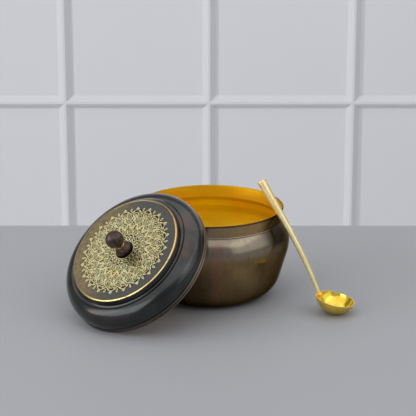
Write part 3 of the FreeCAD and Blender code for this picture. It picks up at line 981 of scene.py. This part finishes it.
def petal(angle, foot, tip, half, rounding=0.8):
    """A closed loop from foot to tip, pointed at both."""
    side = []
    for step in range(PETAL_STEPS):
        share = step / PETAL_STEPS
        side.append((foot + (tip - foot) * share, half * sin(180 * share) ** rounding))
    side.append((tip, 0))
    loop = side + [(radius, -offset) for radius, offset in reversed(side[:-1])]
    return [(angle + math.degrees(offset / radius), radius) for radius, offset in loop]


def arch(angle, foot, top, reach):
    """A bow over the angle, from foot up to top and down again."""
    shares = [step / ARCH_STEPS - 1 for step in range(2 * ARCH_STEPS + 1)]
    return [(angle + reach * share, foot + (top - foot) * (1 - share**2)) for share in shares]


def stroke(start, end, sag=0.0, steps=6):
    """A line between two places, bowed outwards by the sag."""
    points = []
    for step in range(steps + 1):
        share = step / steps
        radius = start[1] + (end[1] - start[1]) * share + sag * sin(180 * share)
        points.append((start[0] + (end[0] - start[0]) * share, radius))
    return points


def loop_round(angle, radius, size, steps=10):
    """A small ring about a place."""
    turns = [360 * step / steps for step in range(steps + 1)]
    return [
        (angle + math.degrees(size * sin(turn) / radius), radius + size * cos(turn))
        for turn in turns
    ]


def lace_strands():
    """One sector's drawing, from the middle outwards."""
    strands = [
        petal(0, 7.6, 11.9, 1.25),
        arch(0, 13.6, 16.8, EDGE),
        loop_round(0, 14.9, 0.75),
        petal(0, 16.8, 23.2, 2.05),
        petal(0, 18.0, 21.6, 1.0),
        petal(EDGE, 15.6, 20.6, 1.15),
        loop_round(0, 24.6, 1.0),
        petal(EDGE, 21.8, 28.6, 1.85),
        petal(EDGE, 23.2, 26.8, 0.9),
        petal(0, 26.0, 30.6, 2.2),
        loop_round(0, 28.2, 0.8),
        arch(0, 29.4, LACE_REACH, EDGE),
        stroke((0, LACE_REACH), (0, 33.7), steps=2),
        petal(EDGE, 31.2, 34.2, 0.55, rounding=1.3),
    ]
    for edge in (-EDGE, EDGE):
        strands += [
            stroke((0, 16.8), (edge, 21.5), sag=0.5),
            stroke((edge, 20.6), (0, 25.2), sag=-0.6),
            stroke((0, 26.0), (edge, 29.8), sag=0.5),
            loop_round(edge / 2, 30.6, 0.7),
            loop_round(edge / 2, 26.1, 0.55, steps=8),
        ]
    return strands


LACE_BEADS = (  # angle, radius, size
    (0, 9.9, 0.4),
    (EDGE, 8.5, 0.4),
    (EDGE, 10.6, 0.35),
    (EDGE, 14.5, 0.6),
    (0, 19.8, 0.4),
    (EDGE, 18.1, 0.4),
    (0, 24.6, 0.4),
    (EDGE, 25.0, 0.4),
    (0, 28.2, 0.35),
    (-1.4, 33.6, 0.45),
    (1.4, 33.6, 0.45),
    (0, 34.4, 0.5),
)
BEAD_SIDES = 8
BEAD_DOME = ((0.75, 0.75), (0.35, 0.5))  # rise as a share of the lace's, and shrink


def lace_point(angle, radius):
    return Vector((radius * cos(angle), radius * sin(angle), 0)) * MM


def lace_bead(angle, radius, size):
    """A low dome."""
    middle = lace_point(angle, radius)
    bpy.ops.mesh.primitive_circle_add(
        vertices=BEAD_SIDES, radius=size * MM, fill_type="NGON", location=middle
    )
    bead = bpy.context.object
    bpy.ops.object.transform_apply(location=True)
    edit_only(bead)
    for rise, shrink in BEAD_DOME:
        lift = (0, 0, LACE_RISE * rise * MM)
        bpy.ops.mesh.extrude_region_move(TRANSFORM_OT_translate={"value": lift})
        bpy.ops.transform.resize(value=(shrink, shrink, 1), center_override=middle)
    leave_edit()
    return bead


def lace_wires():
    """One sector's strands, drawn as lines of points and given their section."""
    bpy.ops.mesh.primitive_plane_add(size=MM)
    wires = bpy.context.object
    edit_only(wires)
    bpy.ops.mesh.delete(type="VERT")
    for strand in lace_strands():
        points = [lace_point(*place_at) for place_at in strand]
        bpy.ops.mesh.primitive_plane_add(size=STRAND_START * MM, location=points[0])
        bpy.ops.mesh.merge(type="CENTER")
        for here, there in zip(points, points[1:]):
            bpy.ops.mesh.extrude_vertices_move(TRANSFORM_OT_translate={"value": there - here})
        bpy.ops.mesh.select_all(action="DESELECT")
    leave_edit()
    bpy.ops.object.convert(target="CURVE")
    half = LACE_WIDTH / 2
    wires.data.twist_mode = "Z_UP"
    wires.data.bevel_depth = half * MM
    wires.data.bevel_resolution = 0
    wires.data.use_fill_caps = True
    bpy.ops.object.convert(target="MESH")
    return place(wires, Matrix.Diagonal((1, 1, LACE_RISE / half, 1)))


def join(pieces):
    bpy.ops.object.select_all(action="DESELECT")
    for piece in pieces:
        piece.select_set(True)
    bpy.context.view_layer.objects.active = pieces[0]
    bpy.ops.object.join()
    return bpy.context.object


def make_lace(lid):
    """Every sector, and the rings about the knob, as one raised trim on the lid's disc."""
    sector = join([lace_wires()] + [lace_bead(*bead) for bead in LACE_BEADS])
    parts = [sector]
    for number in range(1, LACE_SECTORS):
        copied = sector.copy()
        copied.data = sector.data.copy()
        bpy.context.scene.collection.objects.link(copied)
        parts.append(place(copied, Matrix.Rotation(math.radians(2 * EDGE * number), 4, "Z")))
    half = LACE_WIDTH / 2
    for radius in LACE_RINGS:
        ring = Profile(radius - half, 0)
        ring.line(radius, -LACE_RISE)
        ring.line(radius + half, 0)
        ring.line(radius, LACE_RISE)
        parts.append(spun("lace_ring", ring, closed=True))
    lace = join(parts)
    lace.name = "lid_lace_raised"
    edit_only(lace)
    bpy.ops.mesh.normals_make_consistent(inside=False)
    leave_edit()
    smooth(lace, LACE_SMOOTH)
    place(lace, lid @ Matrix.Translation((0, 0, DISC_HEIGHT * MM)))
    finish(lace, "lid", "bright_brass", lace_gold(lid))


# ---- spoon

BOWL_SPHERE = (BOWL_RADIUS**2 + BOWL_DEPTH**2) / (2 * BOWL_DEPTH)  # radius
BOWL_RIM = BOWL_DEPTH - BOWL_SPHERE  # height of the rim over the sphere's middle
HANDLE_TURN = HANDLE_FIRST_RISE - HANDLE_LAST_RISE
HANDLE_BEND = HANDLE_BEND_LENGTH / math.radians(HANDLE_TURN)  # radius
HANDLE_STEPS = 24
HANDLE_SIDES = 40


def make_bowl(spoon, inside_finish, back_finish):
    """A cap of the sphere, back first, then its inner side."""
    inner = BOWL_SPHERE - BOWL_SHEET
    profile = Profile(0, -BOWL_SPHERE)
    profile.around((0, 0), (BOWL_RADIUS, BOWL_RIM))
    profile.line(math.sqrt(inner**2 - BOWL_RIM**2), BOWL_RIM)
    profile.around((0, 0), (0, -inner))
    bowl = spun("spoon_bowl_pressed", profile)

    def is_inside(face):
        return face.normal.dot(face.center) < 0 or face.normal.z > BOWL_UP

    finish(bowl, "spoon", "spoon_brass", back_finish, inside_finish)
    line_inside(bowl, is_inside)
    place(bowl, spoon)
    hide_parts("spoon_bowl")


def handle_at(distance):
    """Where the handle's middle line is, and how steeply it rises, that far from the bowl."""
    bent = min(max(distance / HANDLE_BEND_LENGTH, 0), 1)
    rise = HANDLE_FIRST_RISE - HANDLE_TURN * bent
    beyond = distance - HANDLE_BEND_LENGTH * bent
    foot = Vector((HANDLE_INSET - BOWL_RADIUS, 0, BOWL_RIM))
    outward = Vector((sin(HANDLE_FIRST_RISE), 0, cos(HANDLE_FIRST_RISE)))
    centre = foot - outward * HANDLE_BEND
    way = Vector((-cos(rise), 0, sin(rise)))
    return centre + Vector((sin(rise), 0, cos(rise))) * HANDLE_BEND + way * beyond, rise


def handle_size(distance):
    """Width and thickness of the handle, that far from the bowl."""
    if distance < HANDLE_BEND_LENGTH:
        share = max(distance, 0) / HANDLE_BEND_LENGTH
        return Vector(HANDLE_FOOT).lerp(Vector(HANDLE_MIDDLE), share)
    share = min((distance - HANDLE_BEND_LENGTH) / HANDLE_STRAIGHT, 1)
    return Vector(HANDLE_MIDDLE).lerp(Vector(HANDLE_END), share)


def make_handle(spoon, look):
    """A round face at the foot, extruded and turned from station to station to the cut end."""
    length = HANDLE_BEND_LENGTH + HANDLE_STRAIGHT + HANDLE_END_ROUND + HANDLE_LAP
    stations = [length * step / HANDLE_STEPS - HANDLE_LAP for step in range(HANDLE_STEPS + 1)]
    point, rise = handle_at(stations[0])
    width, thick = handle_size(stations[0])
    bpy.ops.object.select_all(action="DESELECT")
    bpy.ops.mesh.primitive_circle_add(vertices=HANDLE_SIDES, radius=MM / 2, fill_type="NGON")
    handle = bpy.context.object
    handle.name = "spoon_handle_drawn"
    handle.matrix_world = (
        Matrix.Translation(point * MM)
        @ Matrix.Rotation(math.radians(rise - 90), 4, "Y")
        @ Matrix.Diagonal((thick, width, 1, 1))
    )
    bpy.ops.object.transform_apply(location=True, rotation=True, scale=True)
    edit_only(handle)
    for station in stations[1:]:
        last_point, last_rise, last_width, last_thick = point, rise, width, thick
        point, rise = handle_at(station)
        width, thick = handle_size(station)
        move = (point - last_point) * MM
        bpy.ops.mesh.extrude_region_move(TRANSFORM_OT_translate={"value": move})
        if rise != last_rise:
            turn = math.radians(last_rise - rise)
            bpy.ops.transform.rotate(value=turn, orient_axis="Y", center_override=point * MM)
        grow = thick / last_thick
        bpy.ops.transform.resize(value=(grow,) * 3, center_override=point * MM)
        widen = width / last_width / grow
        bpy.ops.transform.resize(value=(1, widen, 1), center_override=point * MM)
    bpy.ops.mesh.bevel(offset=HANDLE_END_ROUND * MM, segments=ROUND_SEGMENTS)
    bpy.ops.mesh.select_all(action="SELECT")
    bpy.ops.mesh.normals_make_consistent(inside=False)
    leave_edit()
    smooth(handle, HANDLE_SMOOTH)
    place(handle, spoon)
    finish(handle, "spoon", "handle_brass", look)
    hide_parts("spoon_handle")


# ---- stage

TABLE_GREY = paint(168, 169, 172)
FLOOR_GREY = paint(214, 215, 220)
WALL_GREY = paint(214, 214, 216)


def painted(obj, name, colour, roughness):
    """Gives a piece of the stage one plain paint."""
    look = Finish(name)
    look.set(base_color=colour, roughness=roughness, metallic=0.0)
    obj.data.materials.append(look.material)
    return obj


def make_table():
    bpy.ops.object.select_all(action="DESELECT")
    bpy.ops.mesh.primitive_cube_add(size=1)
    table = bpy.context.object
    table.name = "table"
    table.scale = (*TABLE_SIZE, TABLE_THICKNESS)
    table.location = (0, TABLE_FAR_EDGE - TABLE_SIZE[1] / 2, -TABLE_THICKNESS / 2)
    bpy.ops.object.transform_apply(location=True, scale=True)
    edit_only(table)
    bpy.ops.mesh.bevel(offset=TABLE_EDGE_ROUND, segments=ROUND_SEGMENTS)
    leave_edit()
    return painted(table, "table_top", TABLE_GREY, roughness=0.6)


def make_floor():
    bpy.ops.mesh.primitive_plane_add(size=FLOOR_SIZE, location=(0, 0, -TABLE_HEIGHT))
    floor = bpy.context.object
    floor.name = "floor"
    bpy.ops.object.transform_apply(location=True)
    return painted(floor, "floor_paint", FLOOR_GREY, roughness=0.9)


def make_wall():
    """Square panels with a bevelled edge each, in a grid of narrow stiles."""
    upright = (math.pi / 2, 0, 0)
    bpy.ops.mesh.primitive_grid_add(
        x_subdivisions=WALL_COLUMNS, y_subdivisions=WALL_ROWS, size=1, rotation=upright
    )
    wall = bpy.context.object
    wall.name = "wall"
    wall.scale = (WALL_COLUMNS * WALL_PANEL, WALL_ROWS * WALL_PANEL, 1)
    wall.location = (WALL_CENTRE[0], WALL_DISTANCE, WALL_CENTRE[1])
    bpy.ops.object.transform_apply(location=True, rotation=True, scale=True)
    edit_only(wall)
    bpy.ops.mesh.inset(thickness=WALL_STILE / 2, use_individual=True)
    bpy.ops.mesh.inset(thickness=WALL_BEVEL, depth=-WALL_SINK, use_individual=True)
    leave_edit()
    return painted(wall, "wall_paint", WALL_GREY, roughness=0.9)


def make_stage():
    """A grey table, a pale floor below it, and a panelled wall well behind."""
    table = make_table()
    floor = make_floor()
    wall = make_wall()


# ---- lights and camera


def lamp(kind, name, place_at, aim_at, power, **settings):
    """A light turned towards a place, its power in watts."""
    bpy.ops.object.light_add(type=kind, location=place_at)
    made = bpy.context.object
    made.name = name
    made.data.energy = power
    for key, value in settings.items():
        setattr(made.data, key, value)
    aim = Vector(aim_at) - Vector(place_at)
    made.rotation_euler = aim.to_track_quat("-Z", "Y").to_euler()


def panel(name, place_at, aim_at, size, power, colour=WHITE):
    """A flat lamp, its size its width and height in metres."""
    shape = {"shape": "RECTANGLE", "size": size[0], "size_y": size[1], "color": colour}
    lamp("AREA", name, place_at, aim_at, power, **shape)


def make_lights():
    overhead = Vector((-0.1, -0.55, 1.6))
    below = (overhead.x, overhead.y, 0)
    panel("overhead", overhead, aim_at=below, size=(5.0, 3.4), power=39)
    panel("key", (1.3, -0.7, 0.75), aim_at=POT_MIDDLE, size=(1.8, 1.1), power=3.6)
    panel("wall_wash", (0.6, 0.9, 0.6), aim_at=(0.6, 1.9, 0.6), size=(1.4, 0.8), power=2.4)
    lamp(
        "SPOT",
        "wall_spot",
        place_at=(-3.6, -0.4, 0.8),
        aim_at=(0.15, WALL_DISTANCE, -0.2),
        power=250,
        spot_size=math.radians(24),
        spot_blend=0.6,
        shadow_soft_size=0.12,
    )
    panel("front_left", (-1.2, -1.0, 0.5), POT_MIDDLE, size=(1.2, 0.8), power=7, colour=COOL_WHITE)
    panel("left", (-1.5, -0.25, 0.5), aim_at=(0.1, 0, 0.05), size=(0.5, 0.8), power=4)
    world = bpy.data.worlds.new("studio")
    bpy.context.scene.world = world
    world.use_nodes = True
    back = world.node_tree.nodes["Background"]
    back.inputs["Color"].default_value = ROOM_TINT
    back.inputs["Strength"].default_value = ROOM_STRENGTH


def make_camera():
    data = bpy.data.cameras.new("camera")
    data.sensor_width = SENSOR
    data.lens = FOCAL_PIXELS * SENSOR / FRAME_PIXELS
    camera = bpy.data.objects.new("camera", data)
    bpy.context.scene.collection.objects.link(camera)
    camera.location = CAMERA_PLACE
    camera.rotation_euler = (math.radians(90 - CAMERA_DOWN), 0, 0)
    bpy.context.scene.camera = camera


# ---- all together


def lid_place():
    """The leaning lid's own frame: its axis goes through the middle of the hem."""
    turn = leaning(LID_SIDE, LID_TILT)
    axis = turn @ Vector((0, 0, 1))
    return Matrix.Translation(ring_centre("lid_shell", axis, top=False)) @ turn


def spoon_place():
    """The leaning spoon's own frame: it starts at the middle of the bowl's sphere."""
    turn = leaning(SPOON_SIDE, SPOON_TILT, SPOON_ROLL)
    axis = turn @ Vector((0, 0, 1))
    rim_centre = ring_centre("spoon_bowl", axis, top=True)
    return Matrix.Translation(rim_centre - axis * BOWL_RIM * MM) @ turn


def main():
    lid = lid_place()
    spoon = spoon_place()
    metals = {name: plain_metal(name) for name in PLAIN_METALS}

    make_pot()
    make_lid(lid)
    make_knob(lid, metals["dark_knob"], metals["bright_brass"])
    make_lace(lid)
    make_bowl(spoon, metals["spoon_bowl_brass"], metals["spoon_bowl_back"])
    make_handle(spoon, metals["pale_satin_brass"])
    for node, metal in (
        ("knob_washer", "bright_brass"),
        ("knob_screw", "bright_brass"),
        ("spoon_braze", "braze"),
    ):
        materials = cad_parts[node].data.materials
        materials.clear()
        materials.append(metals[metal])
    make_stage()
    make_lights()
    make_camera()
    bpy.context.scene.view_settings.view_transform = "Standard"


main()
